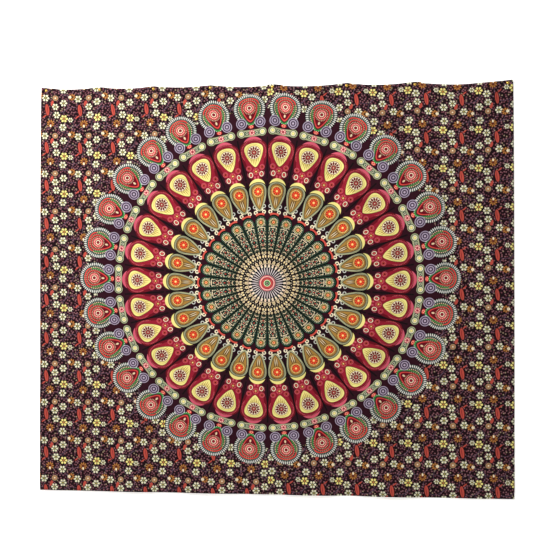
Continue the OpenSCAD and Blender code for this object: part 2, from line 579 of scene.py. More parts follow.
def draw_medallions(press, inks):
    """The outer ring of round medallions, each with a green point towards the centre."""
    press.oval(inks.black, 533, 0, 48, 49.5)
    press.beads(inks.silver, 533, 0, 43.2, 1.75, 46, 2.6)
    press.ring(inks.teal, 533, 0, 37.2, 0.9)
    press.oval(inks.umber, 533, 0, 35.6)
    press.beads(inks.sand, 533, 0, 33.4, 1.5, 36, 1.2)
    press.drop(inks.green, 485, 566, 31.4, taper=0.55)
    press.oval(inks.coral, 548.6, 0, 18.4, 30.4)
    press.drop(inks.umber, 488.5, 564, 29.4, taper=0.55)
    press.beads(inks.tan, 536, 0, 26.2, 1.9, 26, 1.1)
    press.drop(inks.coral, 494, 560, 24, taper=0.55)
    press.drop(inks.garnet, 498, 557.6, 21.6, taper=0.55)
    press.oval(inks.sand, 509, 0, 4.6, 2.8)
    press.beads(inks.sand, 536, 0, 18, 0.9, 24, 2)
    press.oval(inks.coral, 536, 0, 15)
    press.beads(inks.silver, 536, 0, 11.8, 1.3, 15)
    press.oval(inks.garnet, 536, 0, 9)
    press.ring(inks.cream, 536, 0, 6.2, 1.1)
    press.oval(inks.crimson, 536, 0, 3.4)


def draw_flower(press, inks, petal, heart, radius):
    """A field flower of six petals on a dark ground."""
    press.oval(inks.black, 0, 0, radius)
    press.beads(petal, 0, 0, radius * 0.64, radius * 0.25, 6, 1.3)
    press.oval(heart, 0, 0, radius * 0.24)


def draw_field(press, n, inks, field):
    """The flowered field: leaves, buds, flowers and stems on a repeat."""
    size = (*TILE, 1)

    def at(x, y, turn=0.0):
        """Moves the printer to a spot in each repeat, and turns it."""
        away = n.vector("SUBTRACT", field, (TILE_AT[0] + x, TILE_AT[1] + y, 0))
        wrapped = n.vector("WRAP", away, [s / 2 for s in size], [-s / 2 for s in size])
        if turn:
            wrapped = n.add("ShaderNodeVectorRotate", {"Vector": wrapped, "Angle": turn},
                            rotation_type="Z_AXIS").outputs[0]
        press.place = wrapped

    stems = ((30, 30, 40), (-22, -20, 31), (60, -48, 24))
    for x, y, radius in stems:
        at(x, y)
        press.ring(inks.stem, 0, 0, radius, 0.6)
    at(0, 0, -0.14)
    press.oval(inks.black, 0, 0, 8.6, 20)
    press.oval(inks.leaf, 0, 0, 6, 18)
    press.oval(inks.garnet, 1, 0, 0.8, 13)
    at(-8, -21, 0.9)
    press.oval(inks.leaf, 0, 0, 2, 7.5)
    at(17, 22, 0.25)
    press.oval(inks.leaf, 0, 0, 4.8, 9)
    at(27, 39)
    press.oval(inks.black, 0, 0, 10.6)
    press.oval(inks.tan, 0, 0, 9)
    press.beads(inks.amber, 0, 0, 5.4, 1.5, 8, 1.6)
    press.oval(inks.cream, 0, 0, 2)
    flowers = ((53, 24, 11.6), (27, 11, 11), (31, -15, 11.6), (51, -54, 11.6), (-6, 37, 11.6))
    for x, y, radius in flowers:
        at(x, y)
        draw_flower(press, inks, inks.straw, inks.olive, radius)
    at(55, -26)
    draw_flower(press, inks, inks.lemon, inks.amber, 12.4)
    at(75, -30)
    draw_flower(press, inks, inks.straw, inks.olive, 8)
    at(12, -43)
    press.oval(inks.black, 0, 0, 12.6)
    press.beads(inks.amber, 0, 0, 7.6, 1.9, 9, 2.4)
    press.oval(inks.cream, 0, -7.5, 2.4, 4.4)
    press.oval(inks.garnet, 0, 0, 2.4)
    at(79, 44)
    press.oval(inks.black, 0, 0, 11.4)
    press.beads(inks.amber, 0, 0, 6.8, 2, 8, 2.1)
    press.beads(inks.cream, -7, 0, 2.6, 1.5, 5, 1.6)


def speckle(n, place, spacing, radius, ground, colours):
    """Scattered beads of three colours. The radius is a share of the spacing."""
    slant, unevenness = 0.6, 0.75
    second_from, third_from = 0.58, 0.85
    slanted = n.add("ShaderNodeVectorRotate", {"Vector": place, "Angle": slant},
                    rotation_type="Z_AXIS").outputs[0]
    scaled = n.vector("MULTIPLY", slanted, (1 / spacing, 1 / spacing, 1))
    cells = n.add("ShaderNodeTexVoronoi",
                  {"Vector": scaled, "Scale": 1.0, "Randomness": unevenness},
                  voronoi_dimensions="2D")
    sharp = spacing / EDGE
    bead = n.math("MULTIPLY_ADD", cells.outputs["Distance"], -sharp, radius * sharp + 0.5,
                  clamp=True)
    pick = n.split(cells.outputs["Color"])[0]
    colour = n.mix(n.math("GREATER_THAN", pick, second_from), colours[0], colours[1])
    colour = n.mix(n.math("GREATER_THAN", pick, third_from), colour, colours[2])
    return n.mix(bead, ground, colour)


def print_group(inks):
    """The whole print: takes a place on the flat cloth in millimetres, gives the ink's colour."""
    shapes = {"Oval": oval_group(), "Ring": ring_group(), "Drop": drop_group(),
              "Beads": beads_group(), "Bar": bar_group(), "Gap": gap_group()}
    n, given = new_group("Mandala print", [("Place", "Vector")], [("Color", "Color")])
    whole = given["Place"]
    x, y = n.split(whole)

    # the right half of the field is the left half, turned half round
    side = n.math("MULTIPLY_ADD", n.math("LESS_THAN", x, 0.0), 2.0, -1.0)
    field = n.vector("MULTIPLY", whole, n.join(side, side))
    dots = speckle(n, field, 8.2, 0.275, inks.night, (inks.mauve, inks.dusk, inks.tan))
    press = Printer(n, shapes, dots)
    draw_field(press, n, inks, field)

    # the heart of the mandala sits a little lower than its outer rings
    outer = n.vector("LENGTH", whole)
    rest = n.math("MULTIPLY", outer, n.math("MULTIPLY", outer, -1 / MANDALA_R ** 2))
    shift = n.math("MULTIPLY", n.math("ADD", rest, 1.0, clamp=True), HEART_DROP)
    far = n.vector("ADD", whole, n.join(0.0, shift))
    x, y = n.split(far)

    # one motif's own place: outwards from the centre, and away from the motif's middle line
    reach = n.vector("LENGTH", far)
    steps = n.math("DIVIDE", n.math("ARCTAN2", y, x), math.tau / FOLD)
    off = n.math("SUBTRACT", steps, n.math("ROUND", steps))
    angle = n.math("MULTIPLY", off, math.tau / FOLD)
    along = n.math("MULTIPLY", reach, n.math("COSINE", angle))
    across = n.math("MULTIPLY", reach, n.math("ABSOLUTE", n.math("SINE", angle)))
    turn = n.join(along, across)
    press.place = whole
    press.oval(inks.wine, 0, 0, MANDALA_R)
    press.place = turn
    draw_medallions(press, inks)
    draw_bars(press, inks)
    draw_crimson_petals(press, inks)
    draw_gold_drops(press, inks)
    draw_inner_petals(press, n, inks, turn)
    draw_centre(press, inks, far, turn)
    return close_group(n, press.colour)


# ---------------------------------------------------------------- finishes

YARN = 0.45           # width of one thread of the weave, in millimetres
PATCHES = 0.011       # how many worn patches there are to a millimetre
BARE_CLOTH = "8A5F62"  # what the wrong side shows where the ink didn't reach


def weave_group():
    """Plain-woven cotton: height of the threads, and how each thread differs from the next."""
    n, given = new_group(
        "Plain weave", [("Place", "Vector"), ("Thread", "Float")],
        [("Height", "Float"), ("Thread shade", "Float")])
    thread = n.join(given["Thread"], given["Thread"], 1.0)
    x, y = n.split(n.vector("DIVIDE", given["Place"], thread))
    warp = n.math("SINE", n.math("MULTIPLY", x, math.pi))
    weft = n.math("SINE", n.math("MULTIPLY", y, math.pi))
    height = n.math("MULTIPLY", n.math("ABSOLUTE", warp), n.math("ABSOLUTE", weft))
    shades = []
    # a thread changes slowly along its length and quickly from one thread to the next
    slow, quick = 0.02, 0.9
    for step_x, step_y in ((quick, slow), (slow, quick)):
        place = n.join(n.math("MULTIPLY", x, step_x), n.math("MULTIPLY", y, step_y))
        noise = n.add("ShaderNodeTexNoise", {"Vector": place, "Scale": 1.0, "Detail": 2.0},
                      noise_dimensions="2D")
        shades.append(noise.outputs[0])
    return close_group(n, height, n.math("MULTIPLY", n.math("ADD", *shades), 0.5))


def new_material(name):
    """An empty material, its nodes and its Principled shader."""
    material = bpy.data.materials.new(name)
    material.use_nodes = True
    material.node_tree.nodes.clear()
    n = Nodes(material.node_tree)
    shader = n.tree.nodes.new("ShaderNodeBsdfPrincipled")
    n.add("ShaderNodeOutputMaterial", [shader.outputs[0]])
    return material, n, shader


def flat_place(n, inks):
    """The place on the flat cloth, in millimetres from the mandala's centre."""
    flat = n.add("ShaderNodeUVMap", uv_map="Flat").outputs[0]
    across, up = MM * STRETCH[0], MM * STRETCH[1]
    return n.vector("MULTIPLY_ADD", flat, (CLOTH_W / across, CLOTH_H / up, 0),
                    (-inks.centre_x / across, -inks.centre_z / up, 0))


def cotton(name, groups, inks, back):
    """Printed cotton: its right side, or its wrong side where the inks show through."""
    material, n, shader = new_material(name)
    place = flat_place(n, inks)
    colour = n.use(groups["print"], Place=place).outputs[0]
    if back:
        colour = n.mix(inks.back_share, linear(BARE_CLOTH), colour)
    patches = n.add("ShaderNodeTexNoise", {"Vector": place, "Scale": PATCHES, "Detail": 3.0},
                    noise_dimensions="2D").outputs[0]
    weave = n.use(groups["weave"], Place=place, Thread=YARN)
    level = n.math("MULTIPLY_ADD", patches, 0.30, 0.66)
    level = n.math("MULTIPLY_ADD", weave.outputs[1], 0.34, level)
    shade = n.join(level, level, level)
    colour = n.mix(1.0, colour, shade, "MULTIPLY")
    n.put(shader.inputs["Base Color"], colour)
    n.put(shader.inputs["Roughness"], n.math("MULTIPLY_ADD", weave.outputs[1], -0.24, 0.96))
    shader.inputs["Specular IOR Level"].default_value = 0.12
    shader.inputs["Sheen Weight"].default_value = 0.04
    shader.inputs["Sheen Roughness"].default_value = 0.5
    height = n.math("MULTIPLY_ADD", patches, 3.0, weave.outputs[0])
    bump = n.add("ShaderNodeBump", {"Strength": 0.35, "Distance": 0.25 * MM, "Height": height})
    n.put(shader.inputs["Normal"], bump.outputs[0])
    return material


def thread_finish():
    """Spun sewing thread: dark wine with a twist."""
    material, n, shader = new_material("Sewing thread")
    place = n.add("ShaderNodeTexCoord").outputs["Object"]
    twist = n.add("ShaderNodeTexWave", {"Vector": place, "Scale": 900.0, "Distortion": 1.0},
                  bands_direction="DIAGONAL").outputs["Fac"]
    fuzz = n.add("ShaderNodeTexNoise", {"Vector": place, "Scale": 240.0}).outputs[0]
    n.put(shader.inputs["Base Color"], n.mix(fuzz, linear("34101C"), linear("7A3A48")))
    n.put(shader.inputs["Roughness"], n.math("MULTIPLY_ADD", fuzz, 0.3, 0.55))
    shader.inputs["Sheen Weight"].default_value = 0.2
    bump = n.add("ShaderNodeBump", {"Strength": 0.5, "Distance": 0.08 * MM, "Height": twist})
    n.put(shader.inputs["Normal"], bump.outputs[0])
    return material


def metal_finish(name, light, dark, roughness, scale):
    """Worn metal: fine scuffs, and tarnish in patches."""
    material, n, shader = new_material(name)
    place = n.add("ShaderNodeTexCoord").outputs["Object"]
    tarnish = n.add("ShaderNodeTexNoise",
                    {"Vector": place, "Scale": scale, "Detail": 4.0}).outputs[0]
    stretched = n.vector("MULTIPLY", place, (1, 6, 1))
    scuffs = n.add("ShaderNodeTexNoise",
                   {"Vector": stretched, "Scale": scale * 6, "Detail": 2.0}).outputs[0]
    patch = n.math("MULTIPLY_ADD", tarnish, 2.4, -0.85, clamp=True)
    n.put(shader.inputs["Base Color"], n.mix(patch, linear(light), linear(dark)))
    shader.inputs["Metallic"].default_value = 1.0
    n.put(shader.inputs["Roughness"], n.math("MULTIPLY_ADD", scuffs, 0.25, roughness))
    bump = n.add("ShaderNodeBump", {"Strength": 0.15, "Distance": 0.03 * MM, "Height": scuffs})
    n.put(shader.inputs["Normal"], bump.outputs[0])
    return material


FINISH = {}


def finishes():
    """Every material, made once."""
    if not FINISH:
        inks = bpy.context.scene.hanging_print
        groups = {"print": print_group(inks), "weave": weave_group()}
        FINISH["front"] = cotton("Printed cotton", groups, inks, False)
        FINISH["back"] = cotton("Printed cotton, wrong side", groups, inks, True)
        FINISH["thread"] = thread_finish()
        FINISH["brass"] = metal_finish("Tack brass", "E2BA5C", "8E6A2E", 0.16, 420)
        FINISH["steel"] = metal_finish("Needle steel", "C4C8CC", "7C8084", 0.22, 500)
    return FINISH


# ---------------------------------------------------------------- the hung cloth


# how cotton behaves while it settles
COTTON = {
    "quality": 7, "mass": 0.01, "tension_stiffness": 60, "compression_stiffness": 60,
    "shear_stiffness": 12, "bending_stiffness": 0.6, "air_damping": 3,
}
WALL_GAP = 1.5 * MM     # from the sheet's middle surface to the wall behind it
FIRST_FOLD = 1.6 * MM   # how far the sheet starts off its level, as a share of its unevenness
HELD_FLAT = 90 * MM     # how far round a tack the sheet is held flat


def unevenness(x, z):
    """A gentle, fixed unevenness that starts the folds."""
    return (math.sin(9.1 * x + 1.3 * z + 0.4) * math.sin(3.7 * z - 2.0 * x)
            + 0.6 * math.sin(21.0 * x + 2.1) * math.cos(5.0 * z + x))


class HungCloth:
    """The sheet's middle surface as a grid of points, and places on it."""

    def __init__(self, points):
        self.points = points
        rows, columns = points.shape[:2]
        self.rows, self.columns = rows, columns
        across = np.gradient(points, axis=1)
        up = np.gradient(points, axis=0)
        normal = np.cross(across, up)
        self.normals = normal / np.linalg.norm(normal, axis=2, keepdims=True)

    def at(self, u, v, behind=0.0):
        """The point at shares u and v of the flat sheet, moved off it towards the wall."""
        x = min(max(u, 0.0), 1.0) * (self.columns - 1)
        z = min(max(v, 0.0), 1.0) * (self.rows - 1)
        i, j = min(int(x), self.columns - 2), min(int(z), self.rows - 2)
        fx, fz = x - i, z - j

        def between(values):
            low = values[j, i] * (1 - fx) + values[j, i + 1] * fx
            high = values[j + 1, i] * (1 - fx) + values[j + 1, i + 1] * fx
            return low * (1 - fz) + high * fz

        return Vector(between(self.points) - between(self.normals) * behind)


HUNG = {}


def grid_mesh(name, points):
    """A mesh of quads over a grid of points, with its flat places as a UV map."""
    rows, columns = points.shape[:2]
    faces = [(k, k + 1, k + columns + 1, k + columns)
             for j in range(rows - 1) for k in range(j * columns, (j + 1) * columns - 1)]
    mesh = bpy.data.meshes.new(name)
    mesh.from_pydata(points.reshape(-1, 3).tolist(), [], faces)
    layer = mesh.uv_layers.new(name="Flat")
    index = np.empty(len(mesh.loops), np.int64)
    mesh.loops.foreach_get("vertex_index", index)
    flat = np.stack([(index % columns) / (columns - 1), (index // columns) / (rows - 1)], 1)
    layer.data.foreach_set("uv", flat.astype(np.float32).ravel())
    return mesh


def settle(points, settings):
    """Lets the pinned sheet sag and fold under its own weight, and gives its points at rest."""
    rows, columns = points.shape[:2]
    piece = bpy.data.objects.new("settling", grid_mesh("settling", points))
    bpy.context.scene.collection.objects.link(piece)
    pins = piece.vertex_groups.new(name="Pins")
    flat = points.reshape(-1, 3)
    for x in TACK_X:
        near = np.argsort((flat[:, 0] - x) ** 2 + flat[:, 2] ** 2)[:4]
        pins.add([int(k) for k in near], 1.0, "REPLACE")
    cloth = piece.modifiers.new("Hang", "CLOTH")
    for key, value in COTTON.items():
        setattr(cloth.settings, key, value)
    cloth.settings.shrink_min = -settings.slack
    cloth.settings.vertex_group_mass = "Pins"
    cloth.collision_settings.use_self_collision = False
    cloth.collision_settings.distance_min = 1 * MM
    cloth.point_cache.frame_end = settings.settle_steps

    bpy.ops.mesh.primitive_plane_add(size=6, location=(0, CLOTH_Y + WALL_GAP, BOTTOM_Z / 2),
                                     rotation=(math.pi / 2, 0, 0))
    wall = bpy.context.object
    wall.modifiers.new("Wall", "COLLISION")
    wall.collision.thickness_outer = 0.5 * MM
    for step in range(1, settings.settle_steps + 1):
        bpy.context.scene.frame_set(step)
    settled = piece.evaluated_get(bpy.context.evaluated_depsgraph_get()).to_mesh()
    out = np.empty(len(settled.vertices) * 3, np.float32)
    settled.vertices.foreach_get("co", out)
    bpy.data.objects.remove(piece)
    bpy.data.objects.remove(wall)
    bpy.context.scene.frame_set(1)
    return out.reshape(rows, columns, 3).astype(float)


def refine(points):
    """Puts a smooth point between each two of the grid's points, both ways."""
    for axis in (0, 1):
        p = np.moveaxis(points, axis, 0)
        padded = np.concatenate([2 * p[:1] - p[1:2], p, 2 * p[-1:] - p[-2:-1]])
        between = (9 * (padded[1:-2] + padded[2:-1]) - (padded[:-3] + padded[3:])) / 16
        out = np.empty((2 * len(p) - 1, *p.shape[1:]))
        out[::2], out[1::2] = p, between
        points = np.moveaxis(out, 0, axis)
    return points


def droop(points, settings):
    """Lets the top edge sag in a shallow curve from each tack to the next."""
    rows, columns = points.shape[:2]
    flat = np.linspace(-0.5, 0.5, columns) * CLOTH_W
    down = np.linspace(CLOTH_H, 0, rows)
    sag = np.zeros(columns)
    for left, right in zip(TACK_X, TACK_X[1:]):
        share = np.clip((flat - left) / (right - left), 0, 1)
        sag += 4 * share * (1 - share) * (right - left) * settings.sag
    points[..., 2] -= np.outer(np.exp(-(down / settings.sag_reach) ** 2), sag)


def hung_cloth():
    """The sheet as it hangs, worked out once."""
    if not HUNG:
        settings = bpy.context.scene.hanging_cloth
        columns = round(CLOTH_W / settings.cell) + 1
        rows = round(CLOTH_H / settings.cell) + 1
        x = np.linspace(-0.5, 0.5, columns) * CLOTH_W
        z = (BOTTOM_Z + np.linspace(0, 1, rows) * CLOTH_H) * (1 - settings.slack)
        points = np.empty((rows, columns, 3))
        points[..., 0], points[..., 2] = np.meshgrid(x, z)
        for row in points:
            for point in row:
                # flat at a tack, and fully uneven beyond its reach
                free = min(math.hypot(point[0] - tack, point[2]) for tack in TACK_X) / HELD_FLAT
                uneven = 1.4 + unevenness(point[0], point[2])
                point[1] = CLOTH_Y - FIRST_FOLD * uneven * min(max(free - 0.15, 0), 1)
        points = settle(points, settings)
        points = refine(points)
        droop(points, settings)
        depth = np.maximum(CLOTH_Y - points[..., 1], 0)
        limit = settings.fold_limit
        points[..., 1] = CLOTH_Y - limit * np.tanh(depth / limit)
        HUNG["cloth"] = HungCloth(points)
    return HUNG["cloth"]


def add_piece(name, mesh, *materials):
    """An object at the origin that holds a finished mesh."""
    piece = bpy.data.objects.new(name, mesh)
    bpy.context.scene.collection.objects.link(piece)
    for material in materials:
        mesh.materials.append(material)
    return piece


def apply_modifiers(piece):
    """Turns a piece with live modifiers into a plain mesh."""
    solid = piece.evaluated_get(bpy.context.evaluated_depsgraph_get())
    mesh = bpy.data.meshes.new_from_object(solid)
    piece.modifiers.clear()
    piece.data = mesh
    piece.data.name = piece.name


def shade_smooth(mesh):
    """Shades a mesh as one curved surface."""
    mesh.polygons.foreach_set("use_smooth", [True] * len(mesh.polygons))


def lift_with(piece):
    """Bakes a piece's place into its mesh."""
    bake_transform(piece)


def share_baking_map(mesh, front):
    """Lays the faces out flat: most room for the right side, then the wrong side and the rim.

    front is the number of faces on the right side, which come first. As many on the wrong side
    follow.
    """
    edge, back_top, front_low = 0.002, 0.245, 0.262
    rim_gap, rim_tall, rim_filled = 0.006, 0.005, 0.9
    counts = np.array([len(p.loop_indices) for p in mesh.polygons])
    face = np.repeat(np.arange(len(counts)), counts)
    corner = np.arange(len(face)) % 4
    flat = np.empty(len(face) * 2, np.float32)
    mesh.uv_layers["Flat"].data.foreach_get("uv", flat)
    flat = flat.reshape(-1, 2)
    out = np.empty_like(flat)
    out[:, 0] = edge + flat[:, 0] * (1 - 2 * edge)
    right, wrong, rim = face < front, (face >= front) & (face < 2 * front), face >= 2 * front
    out[right, 1] = front_low + flat[right, 1] * (1 - edge - front_low)
    out[wrong, 1] = edge + flat[wrong, 1] * (back_top - edge)
    step = (1 - 2 * edge) / max(len(counts) - 2 * front, 1)
    far_side = rim_filled * np.isin(corner[rim], (1, 2))
    out[rim, 0] = edge + (face[rim] - 2 * front + far_side) * step
    out[rim, 1] = back_top + rim_gap + rim_tall * (corner[rim] >= 2)
    mesh.uv_layers.new(name="OFBake").data.foreach_set("uv", out.ravel())


class HANGING_OT_cloth(bpy.types.Operator):
    """Hangs the printed sheet from its tacks"""

    bl_idname = "hanging.cloth"
    bl_label = "Printed cloth"

    def execute(self, context):
        cloth = hung_cloth()
        made = finishes()
        mesh = grid_mesh("printed_cloth", cloth.points)
        front = len(mesh.polygons)
        piece = add_piece("printed_cloth", mesh, made["front"], made["back"])
        wall = piece.modifiers.new("Thickness", "SOLIDIFY")
        wall.thickness = CLOTH_T
        wall.offset = 0
        wall.material_offset = 1
        wall.material_offset_rim = 0
        apply_modifiers(piece)
        share_baking_map(piece.data, front)
        shade_smooth(piece.data)
        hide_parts("cloth_upper", "cloth_lower")
        lift_with(piece)
        return {"FINISHED"}


# ---------------------------------------------------------------- hems

NOSE = 0.7 * MM        # how far the fold stands out past the sheet's edge
HEM_GAP = 0.06 * MM    # between the sheet and the strip behind it
WALL_ROOM = 0.08 * MM  # between the strip and the wall
FOLD_STEPS = 7


def hem_section():
    """The turned strip's section, a flat fold with a round nose.

    Each point says how far in from the sheet's edge it is, and how far behind the sheet's middle.
    """
    front = CLOTH_T / 2 + HEM_GAP
    back = CLOTH_T / 2 + HEM_T - WALL_ROOM
    centre, radius = (front + back) / 2, (back - front) / 2
    turn = np.linspace(0, math.pi, FOLD_STEPS)
    nose = [(radius * (1 - math.sin(t)) - NOSE, centre + radius * math.cos(t)) for t in turn]
    fold = [(HEM_W - radius * (1 - math.sin(t)), centre - radius * math.cos(t)) for t in turn]
    flat_front = [(HEM_W * k / 5, front) for k in (1, 2, 3, 4)]
    flat_back = [(HEM_W * k / 5, back) for k in (4, 3, 2, 1)]
    return nose + flat_front + fold + flat_back


def hem_mesh(name, cloth, route, inward):
    """Sweeps the hem's section along one edge. inward is the way in from the edge."""
    section = hem_section()
    size = len(section)
    verts, flats = [], []
    for u, v in route:
        for depth, behind in section:
            du, dv = inward[0] * depth / CLOTH_W, inward[1] * depth / CLOTH_H
            point = cloth.at(u + du, v + dv, behind)
            edge = min(depth, 0.0)
            point += Vector((inward[0], 0, inward[1])) * edge
            verts.append(point)
            # the strip shows the right side of the cloth, which runs on past the edge
            flats.append((u - du, v - dv))
    faces = []
    for k in range(len(route) - 1):
        for s in range(size):
            t = (s + 1) % size
            faces.append((k * size + s, k * size + t, (k + 1) * size + t, (k + 1) * size + s))
    last = (len(route) - 1) * size
    faces.append(tuple(range(size - 1, -1, -1)))
    faces.append(tuple(last + s for s in range(size)))
    mesh = bpy.data.meshes.new(name)
    mesh.from_pydata([tuple(p) for p in verts], [], faces)
    layer = mesh.uv_layers.new(name="Flat")
    for loop in mesh.loops:
        layer.data[loop.index].uv = flats[loop.vertex_index]
    face_out(mesh)
    shade_smooth(mesh)
    return mesh


def face_out(mesh):
    """Turns every face of a closed mesh outwards."""
    work = bmesh.new()
    work.from_mesh(mesh)
    bmesh.ops.recalc_face_normals(work, faces=work.faces)
    work.to_mesh(mesh)
    work.free()


def edge_routes(cloth):
    """Each hem's run along its edge, in shares of the sheet, and the way inwards from there."""
    side = HEM_W / CLOTH_H
    along = np.linspace(0, 1, cloth.columns)
    up = np.linspace(side, 1 - side, cloth.rows)
    return {
        "top": ([(u, 1.0) for u in along], (0, -1)),
        "bottom": ([(u, 0.0) for u in along], (0, 1)),
        "left": ([(0.0, v) for v in up], (1, 0)),
        "right": ([(1.0, v) for v in up], (-1, 0)),
    }


class HANGING_OT_hems(bpy.types.Operator):
    """Turns a hem to the back along each edge"""

    bl_idname = "hanging.hems"
    bl_label = "Hems"

    def execute(self, context):
        cloth = hung_cloth()
        for edge, (route, inward) in edge_routes(cloth).items():
            name = f"{edge}_hem"
            piece = add_piece(name, hem_mesh(name, cloth, route, inward), finishes()["front"])
            hold_at(piece, edge, f"hem_{edge}")
        return {"FINISHED"}


def hold_at(piece, edge, node):
    """Puts a piece at one edge in the place of its own nodes: a top or bottom piece on its body, a
    side piece with its place baked into its mesh.
    """
    if edge in ("top", "bottom"):
        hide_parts(node)
        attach(piece, "hanger" if edge == "top" else "drop")
    else:
        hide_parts(node + "_upper", node + "_lower")
        lift_with(piece)


# ---------------------------------------------------------------- stitches

PROUD = 0.04 * MM  # how far a stitch's middle stands off the right side
SUNK = 0.05 * MM   # how far it sinks into the hem at the back
ROW_POINTS = {"across": 600, "up": 520}


def stitch_tree():
    """Sets stitches along a line, each laid along it and a little uneven."""
    tree = bpy.data.node_groups.new("Row of stitches", "GeometryNodeTree")
    sockets = [("Line", "Geometry"), ("Pitch", "Float"), ("Stitch", "Float"), ("Thread", "Float"),
               ("Finish", "Material")]
    for socket, kind in sockets:
        tree.interface.new_socket(socket, in_out="INPUT", socket_type=f"NodeSocket{kind}")
    tree.interface.new_socket("Stitches", in_out="OUTPUT", socket_type="NodeSocketGeometry")
    n = Nodes(tree)
    given = n.add("NodeGroupInput").outputs
    curve = n.add("GeometryNodeMeshToCurve", {"Mesh": given["Line"]})
    points = n.add("GeometryNodeResampleCurve",
                   {"Curve": curve.outputs[0], "Length": given["Pitch"]}, mode="LENGTH")
    ball = n.add("GeometryNodeMeshUVSphere", {"Segments": 6, "Rings": 5, "Radius": 0.5})
    shape = n.add("ShaderNodeCombineXYZ", [given["Thread"], given["Thread"], given["Stitch"]])
    stitch = n.add("GeometryNodeTransform",
                   {"Geometry": ball.outputs[0], "Scale": shape.outputs[0]})
    tangent = n.add("GeometryNodeInputTangent")
    lay = n.add("FunctionNodeAlignRotationToVector", {"Vector": tangent.outputs[0]}, axis="Z")
    size = n.add("FunctionNodeRandomValue", data_type="FLOAT")
    spread = {"Min": 0.88, "Max": 1.06, "Seed": 7}
    for socket in size.inputs:
        if socket.enabled and socket.name in spread:
            socket.default_value = spread[socket.name]
    value = next(s for s in size.outputs if s.enabled)
    row = n.add("GeometryNodeInstanceOnPoints",
                {"Points": points.outputs[0], "Instance": stitch.outputs[0],
                 "Rotation": lay.outputs[0], "Scale": value})
    real = n.add("GeometryNodeRealizeInstances", {"Geometry": row.outputs[0]})
    done = n.add("GeometryNodeSetMaterial",
                 {"Geometry": real.outputs[0], "Material": given["Finish"]})
    n.add("NodeGroupOutput", [done.outputs[0]])
    return tree


def stitch_routes():
    """Each row's run in shares of the sheet."""
    in_u, in_v = STITCH_IN / CLOTH_W, STITCH_IN / CLOTH_H
    end_u, end_v = (STITCH_IN + 2 * MM) / CLOTH_W, (STITCH_IN + 2 * MM) / CLOTH_H
    across = np.linspace(end_u, 1 - end_u, ROW_POINTS["across"])
    up = np.linspace(end_v, 1 - end_v, ROW_POINTS["up"])
    return {
        "top": [(u, 1 - in_v) for u in across],
        "bottom": [(u, in_v) for u in across],
        "left": [(in_u, v) for v in up],
        "right": [(1 - in_u, v) for v in up],
    }


class HANGING_OT_stitches(bpy.types.Operator):
    """Sews the hems down"""

    bl_idname = "hanging.stitches"
    bl_label = "Stitches"

    def execute(self, context):
        cloth = hung_cloth()
        settings = context.scene.hanging_stitches
        tree = stitch_tree()
        ids = {s.name: s.identifier for s in tree.interface.items_tree if s.in_out == "INPUT"}
        front = -(CLOTH_T / 2 + PROUD)
        back = CLOTH_T / 2 + HEM_T - SUNK
        for edge, route in stitch_routes().items():
            name = f"{edge}_stitches"
            verts, edges = [], []
            for behind in (front, back):
                first = len(verts)
                verts += [tuple(cloth.at(u, v, behind)) for u, v in route]
                edges += [(k, k + 1) for k in range(first, len(verts) - 1)]
            mesh = bpy.data.meshes.new(name)
            mesh.from_pydata(verts, edges, [])
            piece = add_piece(name, mesh)
            row = piece.modifiers.new("Row", "NODES")
            row.node_group = tree
            row[ids["Pitch"]] = settings.pitch
            row[ids["Stitch"]] = settings.stitch
            row[ids["Thread"]] = settings.thread
            row[ids["Finish"]] = finishes()["thread"]
            apply_modifiers(piece)
            shade_smooth(piece.data)
            hold_at(piece, edge, f"stitch_{edge}")
        return {"FINISHED"}


# ---------------------------------------------------------------- tacks


def cap_profile(radius, height, settings):
    """Half of a cap's section: radius and height, from its top round the rim to its inside."""
    rim, wall = settings.rim, settings.wall
    ball = (radius * radius + height * height) / (2 * height)

    def dome(r):
        """The dome's height at a distance from the middle."""
        return height - ball + math.sqrt(ball * ball - r * r)

    outside = [(r, dome(r)) for r in np.linspace(0, radius - rim * 0.9, 12)]
    turn = np.linspace(math.radians(50), math.radians(-90), 8)
    roll = [(radius - rim + rim * math.cos(t), rim + rim * math.sin(t)) for t in turn
            if rim + rim * math.sin(t) < outside[-1][1]]
    inside = [(r, max(dome(r) - wall, 0.1 * MM)) for r in np.linspace(radius - 1.6 * rim, 0, 9)]
    return outside + roll + inside


def lathe(name, profile, centre, sides):
    """Turns a section round the needle's line, which runs along Y."""
    verts, faces, rings = [], [], []
    for r, h in profile:
        if r < 1e-7:
            rings.append([len(verts)])
            verts.append((centre.x, centre.y - h, centre.z))
        else:
            rings.append(list(range(len(verts), len(verts) + sides)))
            for k in range(sides):
                t = math.tau * k / sides
                verts.append((centre.x + r * math.cos(t), centre.y - h, centre.z + r * math.sin(t)))
    for low, high in zip(rings, rings[1:]):
        for k in range(sides):
            a, b = low[k % len(low)], low[(k + 1) % len(low)]
            c, d = high[(k + 1) % len(high)], high[k % len(high)]
            faces.append([v for n, v in enumerate((a, b, c, d)) if v not in (a, b, c, d)[:n]])
    mesh = bpy.data.meshes.new(name)
    mesh.from_pydata(verts, [], faces)
    face_out(mesh)
    shade_smooth(mesh)
    return mesh


